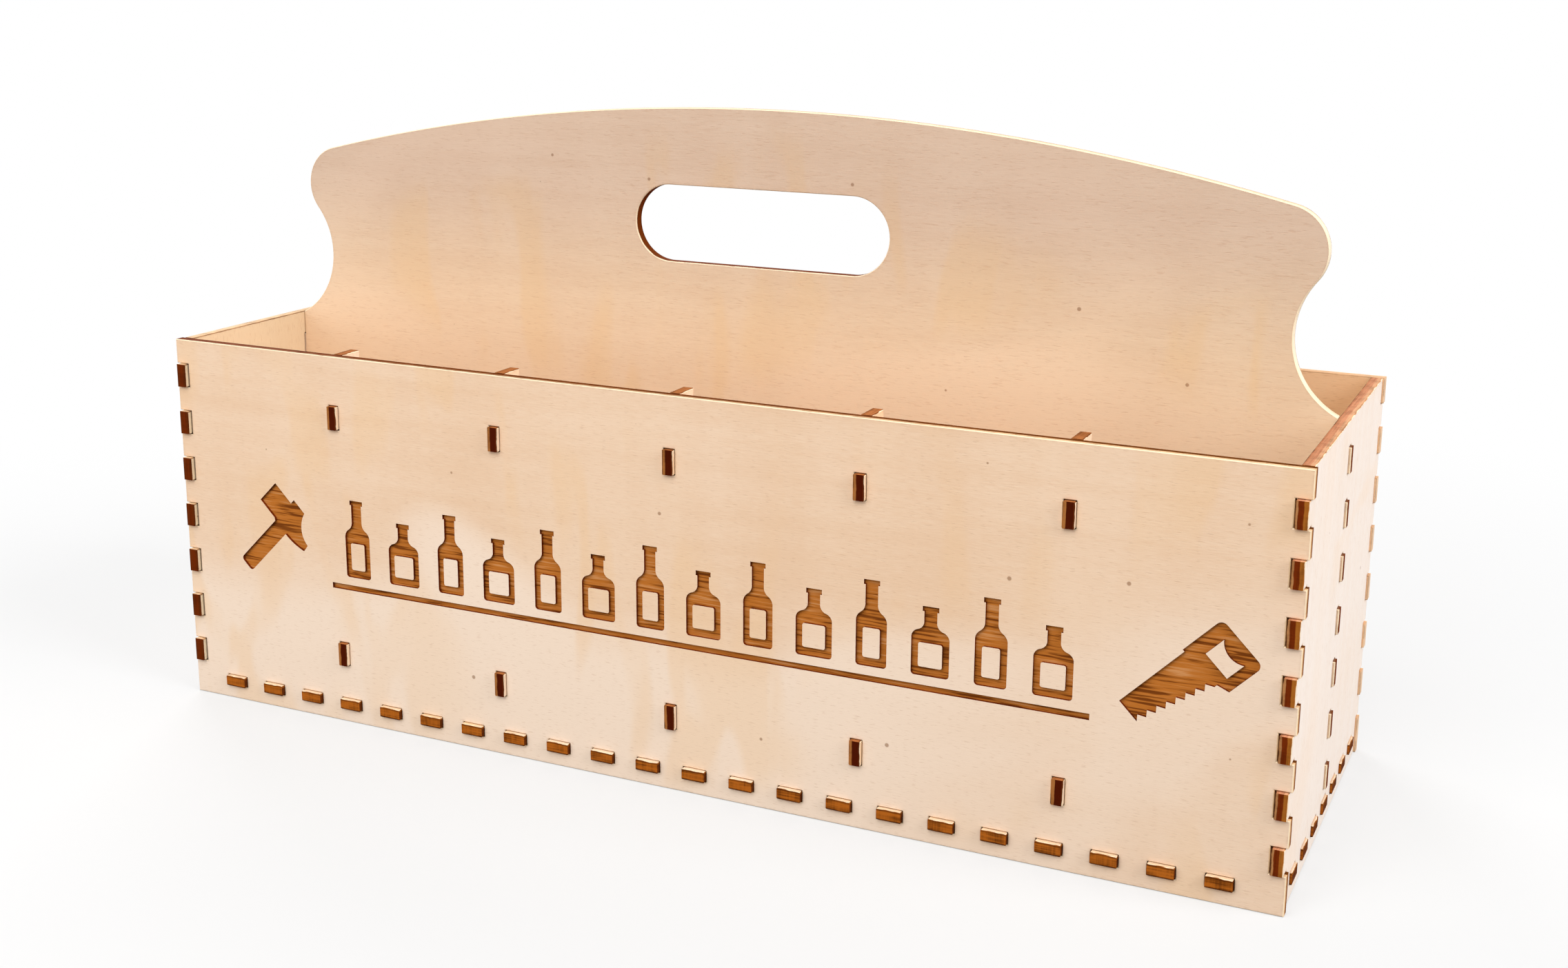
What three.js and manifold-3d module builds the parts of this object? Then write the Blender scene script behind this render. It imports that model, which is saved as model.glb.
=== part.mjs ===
// Bottle carrier: eleven plates cut from thin plywood that slot together with fingers and tabs.
// Two rows of square cells stand either side of a lengthwise panel that rises into a handle.
// Millimetres, +Z up, +X along the length. The origin is the middle of the footprint, on the ground.

import Module from 'manifold-3d';
import * as THREE from 'three';
import { mergeVertices } from 'three/addons/utils/BufferGeometryUtils.js';

const wasm = await Module();
wasm.setup();

// Plywood and fits
const ply = 4; // thickness of every plate
const play = 0.2; // gap on each side of a tab in its slot, and between plates that meet
const cornerPlay = 0.5; // gap behind a corner finger in its notch
const finger = 9.05; // length of a finger or slot, and of the wood before the next one
const leastWeb = 3; // least wood between the base's slots and the lowest corner notch
const leastMargin = 5; // least plain edge between the base's last tab and its corner
const sideProud = 1.4; // how far tabs stand out of the front and back panels
const endProud = 0.8; // how far tabs stand out of the end panels
const arcTolerance = 0.03; // how far a facet may lie from the arc it follows
const cutOver = 1; // how far a cut runs past each face of a plate

// Cells and walls
const columns = 6; // cells along the length, in each of the two rows
const cellWidth = 65; // clear between two dividers
const cellDepth = 64; // clear between the handle panel and a wall
const wallHeight = 140; // ground to the top edge of the four walls
const baseLift = 5.2; // ground to the underside of the base

// Handle
const handleRise = 89; // top edge of the walls to the top of the handle
const shoulderInset = 6.5; // end panel's inner face to the widest point of the shoulder
const shoulderRadius = 15;
const neckInset = 16; // end panel's inner face to the narrowest point of the neck
const neckRadius = 28;
const gripLength = 100; // hand hole, end to end
const gripHeight = 28;
const gripBelowTop = 42.3; // top of the handle to the middle of the hand hole

// Dividers
const earWidth = 10; // wood that stands full height against each wall
const recessDepth = 45; // top of the ears to the edge between them
const recessRadius = 20;

// Sanded faces
const sideColour = 0xeccfae;
const endColour = 0xf2ddc6;
const handleColour = 0xe6c5a0;
const innerColour = 0xe3bd8d;
const sandedRoughness = 0.75;

// Places that follow from the sizes above
const innerLength = columns * cellWidth + (columns - 1) * ply;
const innerDepth = 2 * cellDepth + ply;
const endFace = innerLength / 2; // inner face of an end panel, from the middle
const sideFace = innerDepth / 2; // inner face of the front or back panel, from the middle
const endTip = endFace + ply + endProud; // end of every tab through an end panel
const sideTip = sideFace + ply + sideProud; // end of every tab through the front or back
const baseTop = baseLift + ply;
const pitch = 2 * finger;
const slotWidth = ply + 2 * play; // across the plate that passes through
const recessFloor = wallHeight - recessDepth;
const lapHeight = (baseTop + recessFloor) / 2; // where a divider and the handle panel bottom out

// Stretches [low, high] along an edge
const cornerRows = Math.floor((wallHeight - baseTop - play - leastWeb) / pitch);
const cornerStretches = Array.from({ length: cornerRows }, (_, row) => [
  wallHeight - finger * (2 * row + 2),
  wallHeight - finger * (2 * row + 1),
]).reverse();
const gapStretches = cornerStretches.slice(1).map(([low], row) => [cornerStretches[row][1], low]);
const dividerStretches = [gapStretches[0], gapStretches[gapStretches.length - 1]];
const baseSideStretches = evenStretches(innerLength);
const baseEndStretches = evenStretches(innerDepth);
const dividerPlaces = Array.from(
  { length: columns - 1 },
  (_, index) => (index + 1) * (cellWidth + ply) - (innerLength + ply) / 2,
);

// As many fingers as an edge takes, centred on it
function evenStretches(edgeLength) {
  const count = Math.floor((edgeLength - 2 * leastMargin + finger) / pitch);
  return Array.from({ length: count }, (_, index) => {
    const middle = (index - (count - 1) / 2) * pitch;
    return [middle - finger / 2, middle + finger / 2];
  });
}

// The same stretches, shortened by the play at each end
function loosened(stretches) {
  return stretches.map(([low, high]) => [low + play, high - play]);
}

// Points [along, across] of an edge that steps from edge to tip over each stretch
function steps(stretches, edge, tip) {
  return stretches.flatMap(([low, high]) => [
    [low, edge],
    [low, tip],
    [high, tip],
    [high, edge],
  ]);
}

// The same for an edge that runs up instead of along
function stepsUp(stretches, edge, tip) {
  return steps(stretches, edge, tip).map(([along, across]) => [across, along]);
}

// Points on an arc, ends included, spaced so that each facet keeps to the tolerance
function arc([x, y], radius, startAngle, endAngle) {
  const facetAngle = 2 * Math.acos(1 - arcTolerance / radius);
  const facets = Math.max(2, Math.ceil(Math.abs(endAngle - startAngle) / facetAngle));
  return Array.from({ length: facets + 1 }, (_, index) => {
    const angle = THREE.MathUtils.lerp(startAngle, endAngle, index / facets);
    return [x + radius * Math.cos(angle), y + radius * Math.sin(angle)];
  });
}

// A closed outline from its right half, which runs from the bottom to the top
function symmetric(rightHalf) {
  const leftHalf = rightHalf.filter(([x]) => x > 0).map(([x, y]) => [-x, y]);
  return [...rightHalf, ...leftHalf.reverse()];
}

function rectangle([left, right], [low, high]) {
  return [
    [left, low],
    [right, low],
    [right, high],
    [left, high],
  ];
}

// A closed outline given the thickness from low to high, as a solid that can be cut
function slab(outline, low, high) {
  const shape = new THREE.Shape(outline.map(([x, y]) => new THREE.Vector2(x, y)));
  const extruded = new THREE.ExtrudeGeometry(shape, { depth: high - low, bevelEnabled: false });
  extruded.translate(0, 0, low);
  extruded.deleteAttribute('normal');
  extruded.deleteAttribute('uv');
  const merged = mergeVertices(extruded);
  const vertProperties = new Float32Array(merged.attributes.position.array);
  const triVerts = new Uint32Array(merged.index.array);
  return new wasm.Manifold(new wasm.Mesh({ numProp: 3, vertProperties, triVerts }));
}

function toGeometry(solid) {
  const { vertProperties, triVerts } = solid.getMesh();
  const geometry = new THREE.BufferGeometry();
  geometry.setAttribute('position', new THREE.BufferAttribute(vertProperties, 3));
  geometry.setIndex(new THREE.BufferAttribute(triVerts, 1));
  geometry.computeVertexNormals();
  return geometry;
}

// A plate that lies flat with its underside at the given height
function flatPlate(name, colour, height, outline, holes = []) {
  const board = slab(outline, 0, ply);
  const cut = holes.reduce((left, hole) => left.subtract(slab(hole, -cutOver, ply + cutOver)), board);
  const material = new THREE.MeshStandardMaterial({
    color: colour,
    roughness: sandedRoughness,
    metalness: 0,
  });
  const plate = new THREE.Mesh(toGeometry(cut), material);
  plate.name = name;
  plate.position.z = height;
  return plate;
}

// A plate that stands on edge, with the middle of its thickness at the given depth
function standingPlate(name, colour, depth, outline, holes = []) {
  const plate = flatPlate(name, colour, 0, outline, holes);
  plate.rotation.x = Math.PI / 2;
  plate.position.y = depth + ply / 2;
  return plate;
}

// Front and back: notched corners, a slot for each tab of the base and two for each divider
function sidePanel(name, depth) {
  const outline = symmetric([
    [endTip, 0],
    ...stepsUp(cornerStretches, endTip, endFace - cornerPlay),
    [endTip, wallHeight],
  ]);
  const baseSlots = baseSideStretches.map((stretch) =>
    rectangle(stretch, [baseLift - play, baseTop + play]),
  );
  const dividerSlots = dividerPlaces.flatMap((x) =>
    dividerStretches.map((stretch) => rectangle([x - slotWidth / 2, x + slotWidth / 2], stretch)),
  );
  return standingPlate(name, sideColour, depth, outline, [...baseSlots, ...dividerSlots]);
}

// Ends: fingers at both corners, slots for the base and a column of slots for the handle panel
function endPanel(name, place) {
  const edge = sideFace - play;
  const outline = symmetric([
    [edge, 0],
    ...stepsUp(loosened(cornerStretches), edge, sideTip),
    [edge, wallHeight],
  ]);
  const baseSlots = baseEndStretches.map((stretch) =>
    rectangle(stretch, [baseLift - play, baseTop + play]),
  );
  const handleSlots = cornerStretches.map((stretch) =>
    rectangle([-slotWidth / 2, slotWidth / 2], stretch),
  );
  return standingPlate(name, endColour, place, outline, [...baseSlots, ...handleSlots]);
}

// Base: tabs through all four walls
function basePanel(name) {
  const endEdge = endFace - play;
  const sideEdge = sideFace - play;
  const sideTabs = loosened(baseSideStretches);
  const endTabs = loosened(baseEndStretches);
  const outline = [
    [-endEdge, -sideEdge],
    ...steps(sideTabs, -sideEdge, -sideTip),
    [endEdge, -sideEdge],
    ...stepsUp(endTabs, endEdge, endTip),
    [endEdge, sideEdge],
    ...steps(sideTabs, sideEdge, sideTip).reverse(),
    [-endEdge, sideEdge],
    ...stepsUp(endTabs, -endEdge, -endTip).reverse(),
  ];
  return flatPlate(name, innerColour, baseLift, outline);
}

// Neck, shoulder and crown of the handle: three arcs that run into each other, from the wall to the middle
function handleCrown(edge) {
  const neck = new THREE.Vector2(endFace - neckInset + neckRadius, 0);
  neck.y = wallHeight + Math.sqrt(neckRadius ** 2 - (neck.x - edge) ** 2);
  const shoulder = new THREE.Vector2(endFace - shoulderInset - shoulderRadius, 0);
  shoulder.y = neck.y + Math.sqrt((neckRadius + shoulderRadius) ** 2 - (neck.x - shoulder.x) ** 2);
  const crest = wallHeight + handleRise;
  const crestRise = crest - shoulder.y;
  const crownRadius =
    (shoulder.x ** 2 + crestRise ** 2 - shoulderRadius ** 2) / (2 * (crestRise - shoulderRadius));
  const crown = new THREE.Vector2(0, crest - crownRadius);
  const neckStart = Math.atan2(wallHeight - neck.y, edge - neck.x) + 2 * Math.PI;
  const neckEnd = Math.atan2(shoulder.y - neck.y, shoulder.x - neck.x);
  const shoulderEnd = Math.atan2(shoulder.y - crown.y, shoulder.x - crown.x);
  return [
    ...arc([neck.x, neck.y], neckRadius, neckStart, neckEnd),
    ...arc([shoulder.x, shoulder.y], shoulderRadius, neckEnd - Math.PI, shoulderEnd).slice(1),
    ...arc([crown.x, crown.y], crownRadius, shoulderEnd, Math.PI / 2).slice(1, -1),
    [0, crest],
  ];
}

// Hand hole with round ends
function gripHole() {
  const radius = gripHeight / 2;
  const reach = gripLength / 2 - radius;
  const middle = wallHeight + handleRise - gripBelowTop;
  return [
    ...arc([reach, middle], radius, -Math.PI / 2, Math.PI / 2),
    ...arc([-reach, middle], radius, Math.PI / 2, (3 * Math.PI) / 2),
  ];
}

// Handle panel: tabs through both ends, slots from below over the dividers, hand hole at the top
function handlePanel(name) {
  const edge = endFace - play;
  const bottom = baseTop + play;
  const lapSlots = dividerPlaces.map((x) => [x - slotWidth / 2, x + slotWidth / 2]);
  const sides = symmetric([
    [edge, bottom],
    ...stepsUp(loosened(cornerStretches), edge, endTip),
    ...handleCrown(edge),
  ]);
  const outline = [...steps(lapSlots, bottom, lapHeight + play), ...sides];
  return standingPlate(name, handleColour, 0, outline, [gripHole()]);
}

// Divider: two tabs through each wall, a slot from above for the handle panel, a recess between the ears
function divider(name, place) {
  const edge = sideFace - play;
  const ear = sideFace - earWidth;
  const corner = [ear - recessRadius, recessFloor + recessRadius];
  const outline = symmetric([
    [edge, baseTop + play],
    ...stepsUp(loosened(dividerStretches), edge, sideTip),
    [edge, wallHeight],
    [ear, wallHeight],
    ...arc(corner, recessRadius, 0, -Math.PI / 2),
    [slotWidth / 2, recessFloor],
    [slotWidth / 2, lapHeight - play],
  ]);
  return standingPlate(name, innerColour, place, outline);
}

const lengthwise = new THREE.Group();
lengthwise.add(
  sidePanel('front_panel', -(sideFace + ply / 2)),
  handlePanel('handle_panel'),
  sidePanel('back_panel', sideFace + ply / 2),
);

// Plates that stand across the length: a quarter turn brings their drawing's first axis to +Y
const crosswise = new THREE.Group();
crosswise.rotation.z = Math.PI / 2;
crosswise.add(
  endPanel('left_end_panel', endFace + ply / 2),
  endPanel('right_end_panel', -(endFace + ply / 2)),
  ...dividerPlaces.map((x, index) => divider(`divider_${index + 1}`, -x)),
);

const carrier = new THREE.Group();
carrier.add(basePanel('base_panel'), lengthwise, crosswise);

export default carrier;
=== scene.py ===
"""Looks of a slotted plywood bottle carrier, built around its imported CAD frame.

Every board is drawn flat as a layout of loops and slot middles. One Geometry Nodes tree then cuts the
layout out of three-ply board, with eased arrises, a scorched rim, slots and engraving. Metres, +Z up.
"""

from __future__ import annotations

import logging
import math
from collections.abc import Callable, Iterable, Mapping, Sequence
from dataclasses import dataclass, field, replace
from enum import Enum, IntEnum
from functools import cached_property

import bpy
from mathutils import Matrix, Quaternion, Vector


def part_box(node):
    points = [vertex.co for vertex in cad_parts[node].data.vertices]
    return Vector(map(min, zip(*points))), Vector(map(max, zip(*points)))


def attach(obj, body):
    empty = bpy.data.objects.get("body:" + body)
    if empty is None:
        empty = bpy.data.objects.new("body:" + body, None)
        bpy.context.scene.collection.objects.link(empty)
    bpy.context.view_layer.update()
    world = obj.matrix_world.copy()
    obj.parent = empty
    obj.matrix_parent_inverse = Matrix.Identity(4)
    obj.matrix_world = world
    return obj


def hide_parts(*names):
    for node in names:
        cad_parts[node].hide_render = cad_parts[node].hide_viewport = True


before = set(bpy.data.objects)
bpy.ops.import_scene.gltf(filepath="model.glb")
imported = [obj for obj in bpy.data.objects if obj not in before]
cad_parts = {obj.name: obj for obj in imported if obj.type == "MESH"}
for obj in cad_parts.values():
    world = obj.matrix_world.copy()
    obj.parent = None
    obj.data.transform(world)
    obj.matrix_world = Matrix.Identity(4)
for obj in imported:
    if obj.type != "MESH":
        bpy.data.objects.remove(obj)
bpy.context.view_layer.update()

log = logging.getLogger("bottle_carrier")

MM = 0.001
ARC_TOLERANCE = 0.01 * MM  # how far a facet may lie from the arc it follows
ARC_STEP = math.radians(15)  # the widest angle that one facet spans
CREASE = math.radians(28)  # edges sharper than this stay crisp
QUARTER_TURN = math.pi / 2
ORIGIN = (0.0, 0.0, 0.0)
UP = (0.0, 0.0, 1.0)
NO_TINT = (1.0, 1.0, 1.0)
WHITE = (1.0, 1.0, 1.0, 1.0)

Point = tuple[float, float]
Triple = tuple[float, float, float]
Loop = list[Point]
Stretch = tuple[float, float]
Rgb = tuple[int, int, int]
Colour = tuple[float, float, float, float]
Socket = bpy.types.NodeSocket
Value = float | int | bool | str | Sequence[float] | bpy.types.Material | Socket
Inputs = Mapping[str | int, Value]


def srgb(rgb: Rgb) -> Colour:
    """Converts a display colour to the linear one that shaders take.

    Args:
        rgb: Red, green and blue from 0 to 255.

    Returns:
        Linear red, green and blue, and an alpha of 1.
    """
    shares = [channel / 255 for channel in rgb]
    red, green, blue = (s / 12.92 if s <= 0.04045 else ((s + 0.055) / 1.055) ** 2.4 for s in shares)
    return (red, green, blue, 1.0)


def arc(middle: Point, radius: float, start: float, end: float) -> Loop:
    """Lays points on an arc, both ends included.

    Args:
        middle: Centre of the arc.
        radius: Its radius.
        start: Angle of the first point, in radians.
        end: Angle of the last point.

    Returns:
        The points, close enough together to keep to the tolerance.
    """
    step = min(ARC_STEP, 2 * math.acos(1 - min(1.0, ARC_TOLERANCE / radius)))
    facets = max(2, math.ceil(abs(end - start) / step))
    angles = [start + (end - start) * index / facets for index in range(facets + 1)]
    return [(middle[0] + radius * math.cos(a), middle[1] + radius * math.sin(a)) for a in angles]


def bowed(start: Point, end: Point, rise: float) -> Loop:
    """Joins two points by a shallow arc.

    Args:
        start: First point.
        end: Last point.
        rise: How far the arc's middle stands to the left of the straight line; negative is to the right.

    Returns:
        The arc's points, both ends included.
    """
    first, last = Vector(start), Vector(end)
    chord = last - first
    left = Vector((-chord.y, chord.x)).normalized()
    radius = (chord.length_squared / 4 + rise * rise) / (2 * rise)
    middle = (first + last) / 2 + left * (rise - radius)
    from_angle = math.atan2(first.y - middle.y, first.x - middle.x)
    to_angle = math.atan2(last.y - middle.y, last.x - middle.x)
    if rise > 0 and to_angle > from_angle:
        to_angle -= 2 * math.pi
    if rise < 0 and to_angle < from_angle:
        to_angle += 2 * math.pi
    return arc((middle.x, middle.y), abs(radius), from_angle, to_angle)


def rounded(corners: Sequence[Point], radius: float) -> Loop:
    """Rounds every corner of a closed outline.

    Args:
        corners: The outline's sharp corners.
        radius: Radius of each rounding.

    Returns:
        The outline with an arc at each corner.
    """
    loop: Loop = []
    for index, corner in enumerate(corners):
        tip = Vector(corner)
        back = (Vector(corners[index - 1]) - tip).normalized()
        on = (Vector(corners[(index + 1) % len(corners)]) - tip).normalized()
        half = back.angle(on) / 2
        middle = tip + (back + on).normalized() * (radius / math.sin(half))
        first = tip + back * (radius / math.tan(half)) - middle
        last = tip + on * (radius / math.tan(half)) - middle
        start = math.atan2(first.y, first.x)
        sweep = (math.atan2(last.y, last.x) - start + math.pi) % (2 * math.pi) - math.pi
        loop += arc((middle.x, middle.y), radius, start, start + sweep)
    return loop


def mirrored(right_half: Loop) -> Loop:
    """Closes an outline from its right half, which runs from the bottom to the top."""
    return right_half + [(-x, y) for x, y in reversed(right_half) if x > 0]


def facing(loop: Loop, clockwise: bool) -> Loop:
    """The same loop, reversed where it runs the other way; a hole runs clockwise."""
    area = sum(a[0] * b[1] - b[0] * a[1] for a, b in zip(loop, loop[1:] + loop[:1]))
    return loop[::-1] if (area < 0) != clockwise else loop


def set_out(loop: Loop, at: Point, turn: float = 0.0) -> Loop:
    """Turns a figure's loop about its own origin and moves it to its place."""
    cos, sin = math.cos(turn), math.sin(turn)
    return [(at[0] + x * cos - y * sin, at[1] + x * sin + y * cos) for x, y in loop]


def stepped(stretches: Iterable[Stretch], edge: float, tip: float) -> Loop:
    """Points of a level edge that steps from edge to tip over each stretch."""
    return [p for low, high in stretches for p in ((low, edge), (low, tip), (high, tip), (high, edge))]


def stepped_up(stretches: Iterable[Stretch], edge: float, tip: float) -> Loop:
    """The same for an edge that runs up."""
    return [(across, along) for along, across in stepped(stretches, edge, tip)]


def add_object(name: str, data: bpy.types.ID) -> bpy.types.Object:
    """Puts an object into the scene.

    Args:
        name: Its name.
        data: Its mesh, light or camera.

    Returns:
        The new object.
    """
    made = bpy.data.objects.new(name, data)
    bpy.context.scene.collection.objects.link(made)
    return made


class Lay(Enum):
    """How a board's plies run: axes of the face grain, of the core's grain, and through the board."""

    LENGTHWISE = (0, 2, 1)
    UPRIGHT = (2, 1, 0)
    CROSSWISE = (1, 0, 2)

    def spread(self, grain: float, cross: float, through: float) -> Triple:
        """Puts values for the face grain, the core's grain and the thickness in X, Y, Z order."""
        given = dict(zip(self.value, (grain, cross, through)))
        return (given[0], given[1], given[2])


class Role(IntEnum):
    """What a point of a layout stands for."""

    OUTLINE = 0
    SLOT = 1
    FIGURE = 2
    MOTIF = 3
    MOTIF_PLACE = 4


class Skin(IntEnum):
    """Which of a board's finishes a face takes."""

    FACE = 0
    EDGE = 1
    ENGRAVED_FLOOR = 2
    ENGRAVED_WALL = 3


@dataclass(frozen=True)
class Joinery:
    """Sizes that the boards share, in metres: the fits are set here, the rest comes from the frame."""

    ply: float
    wall_height: float
    end_face: float
    side_face: float
    end_tip: float
    side_tip: float
    base_low: float
    crest: float
    finger: float = 9.05 * MM
    play: float = 0.2 * MM
    corner_play: float = 0.5 * MM
    least_web: float = 3 * MM
    least_margin: float = 5 * MM

    @classmethod
    def from_frame(cls) -> Joinery:
        """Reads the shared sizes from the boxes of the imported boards.

        Returns:
            The sizes.
        """
        front_low, front_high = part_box("front_panel")
        end_low, end_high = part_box("right_end_panel")
        base_low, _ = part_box("base_panel")
        _, handle_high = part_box("handle_panel")
        return cls(
            ply=front_high.y - front_low.y,
            wall_height=front_high.z,
            end_face=end_low.x,
            side_face=-front_high.y,
            end_tip=front_high.x,
            side_tip=end_high.y,
            base_low=base_low.z,
            crest=handle_high.z,
        )

    @property
    def pitch(self) -> float:
        """From one finger to the next."""
        return 2 * self.finger

    @property
    def slot_width(self) -> float:
        """Width of a slot across the board that passes through it."""
        return self.ply + 2 * self.play

    @property
    def base_top(self) -> float:
        """Height of the cells' floor."""
        return self.base_low + self.ply

    def corner_stretches(self) -> list[Stretch]:
        """Heights of the corner fingers, from the lowest to the highest.

        Returns:
            Where each finger starts and ends.
        """
        rows = int((self.wall_height - self.base_top - self.play - self.least_web) / self.pitch)
        tops = [self.wall_height - self.finger * (2 * row + 1) for row in reversed(range(rows))]
        return [(top - self.finger, top) for top in tops]

    def divider_stretches(self) -> list[Stretch]:
        """Heights of a divider's two tabs.

        Returns:
            The lowest and the highest gap between the corner fingers.
        """
        corner = self.corner_stretches()
        gaps = [(below[1], above[0]) for below, above in zip(corner, corner[1:])]
        return [gaps[0], gaps[-1]]

    def even_stretches(self, half_edge: float) -> list[Stretch]:
        """Centres as many fingers on an edge as it takes.

        Args:
            half_edge: Half the length of the edge.

        Returns:
            Where each finger starts and ends, from the middle of the edge.
        """
        count = int((2 * half_edge - 2 * self.least_margin + self.finger) / self.pitch)
        middles = [(index - (count - 1) / 2) * self.pitch for index in range(count)]
        return [(m - self.finger / 2, m + self.finger / 2) for m in middles]

    def loosened(self, stretches: Iterable[Stretch]) -> list[Stretch]:
        """The same stretches, shortened by the play at each end."""
        return [(low + self.play, high - self.play) for low, high in stretches]


@dataclass
class Layout:
    """Flat drawing of a board: its points, the lines between them and what each one stands for."""

    points: list[Point] = field(default_factory=list)
    lines: list[tuple[int, int]] = field(default_factory=list)
    roles: list[int] = field(default_factory=list)
    slot_sizes: list[Point] = field(default_factory=list)
    # Where edges are painted dark: charring, and painted shade on the front's left edge.
    burn_and_shade_marks: list[float] = field(default_factory=list)

    def add_places(
        self,
        places: Sequence[Point],
        role: Role,
        size: Point = (0.0, 0.0),
        burn_and_shade: Callable[[float], bool] = lambda x: True,
    ) -> None:
        """Marks single points: the middles of slots or motifs, or the points of a loop.

        Args:
            places: The points.
            role: What they stand for.
            size: Width and height of each slot.
            burn_and_shade: Tells from a point's first coordinate whether the edge there is painted dark:
                charring on slots, holes and tabs, painted shade on the front's left edge.
        """
        self.points += places
        self.roles += [int(role)] * len(places)
        self.slot_sizes += [size] * len(places)
        self.burn_and_shade_marks += [float(burn_and_shade(x)) for x, _ in places]

    def add_loop(
        self, loop: Loop, role: Role, hole: bool = False, burn_and_shade: Callable[[float], bool] = lambda x: False
    ) -> None:
        """Draws a closed outline.

        Args:
            loop: Its points, in either direction.
            role: What it stands for.
            hole: True where the wood lies outside it; the wall of a hole is charred dark.
            burn_and_shade: Tells from a point's first coordinate whether an outer edge is painted dark
                there: charring on the handle's tabs, painted shade on the front's left edge.
        """
        first, count = len(self.points), len(loop)
        self.lines += [(first + index, first + (index + 1) % count) for index in range(count)]
        self.add_places(facing(loop, clockwise=hole), role, burn_and_shade=lambda x: hole or burn_and_shade(x))

    def to_mesh(self, name: str) -> bpy.types.Mesh:
        """Turns the drawing into a mesh of wires and points that a tree can read.

        Args:
            name: Name of the mesh.

        Returns:
            The mesh.
        """
        mesh = bpy.data.meshes.new(name)
        mesh.from_pydata([(x, y, 0.0) for x, y in self.points], self.lines, [])
        mesh.attributes.new("role", "INT", "POINT").data.foreach_set("value", self.roles)
        mesh.attributes.new("burn_and_shade_mask", "FLOAT", "POINT").data.foreach_set("value", self.burn_and_shade_marks)
        sizes = [value for size in self.slot_sizes for value in (*size, 1.0)]
        mesh.attributes.new("slot_size", "FLOAT_VECTOR", "POINT").data.foreach_set("vector", sizes)
        return mesh


class NodeBook:
    """Adds nodes to a tree, and sets or links their inputs in the same call."""

    def __init__(self, tree: bpy.types.NodeTree) -> None:
        """Starts with the tree that takes the nodes."""
        self.tree = tree

    def add(self, kind: str, inputs: Inputs | None = None, **settings: object) -> bpy.types.Node:
        """Adds one node.

        Args:
            kind: Blender's name for the type of node.
            inputs: Value or socket for each input, by its name or its number.
            **settings: Properties of the node.

        Returns:
            The new node.
        """
        node = self.tree.nodes.new(kind)
        for name, setting in settings.items():
            setattr(node, name, setting)
        for key, value in (inputs or {}).items():
            if isinstance(value, Socket):
                self.tree.links.new(value, node.inputs[key])
            else:
                node.inputs[key].default_value = value
        return node

    def out(self, kind: str, inputs: Inputs | None = None, at: int | str = 0, **settings: object) -> Socket:
        """Adds one node and gives one of its outputs, by its name or its number."""
        return self.add(kind, inputs, **settings).outputs[at]

    def number(self, operation: str, first: Value, second: Value = 0.0) -> Socket:
        """Result of a Math node."""
        return self.out("ShaderNodeMath", {0: first, 1: second}, operation=operation)

    def vector(self, operation: str, first: Value, second: Value = ORIGIN, at: int | str = 0) -> Socket:
        """Result of a Vector Math node."""
        return self.out("ShaderNodeVectorMath", {0: first, 1: second}, at, operation=operation)


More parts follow.
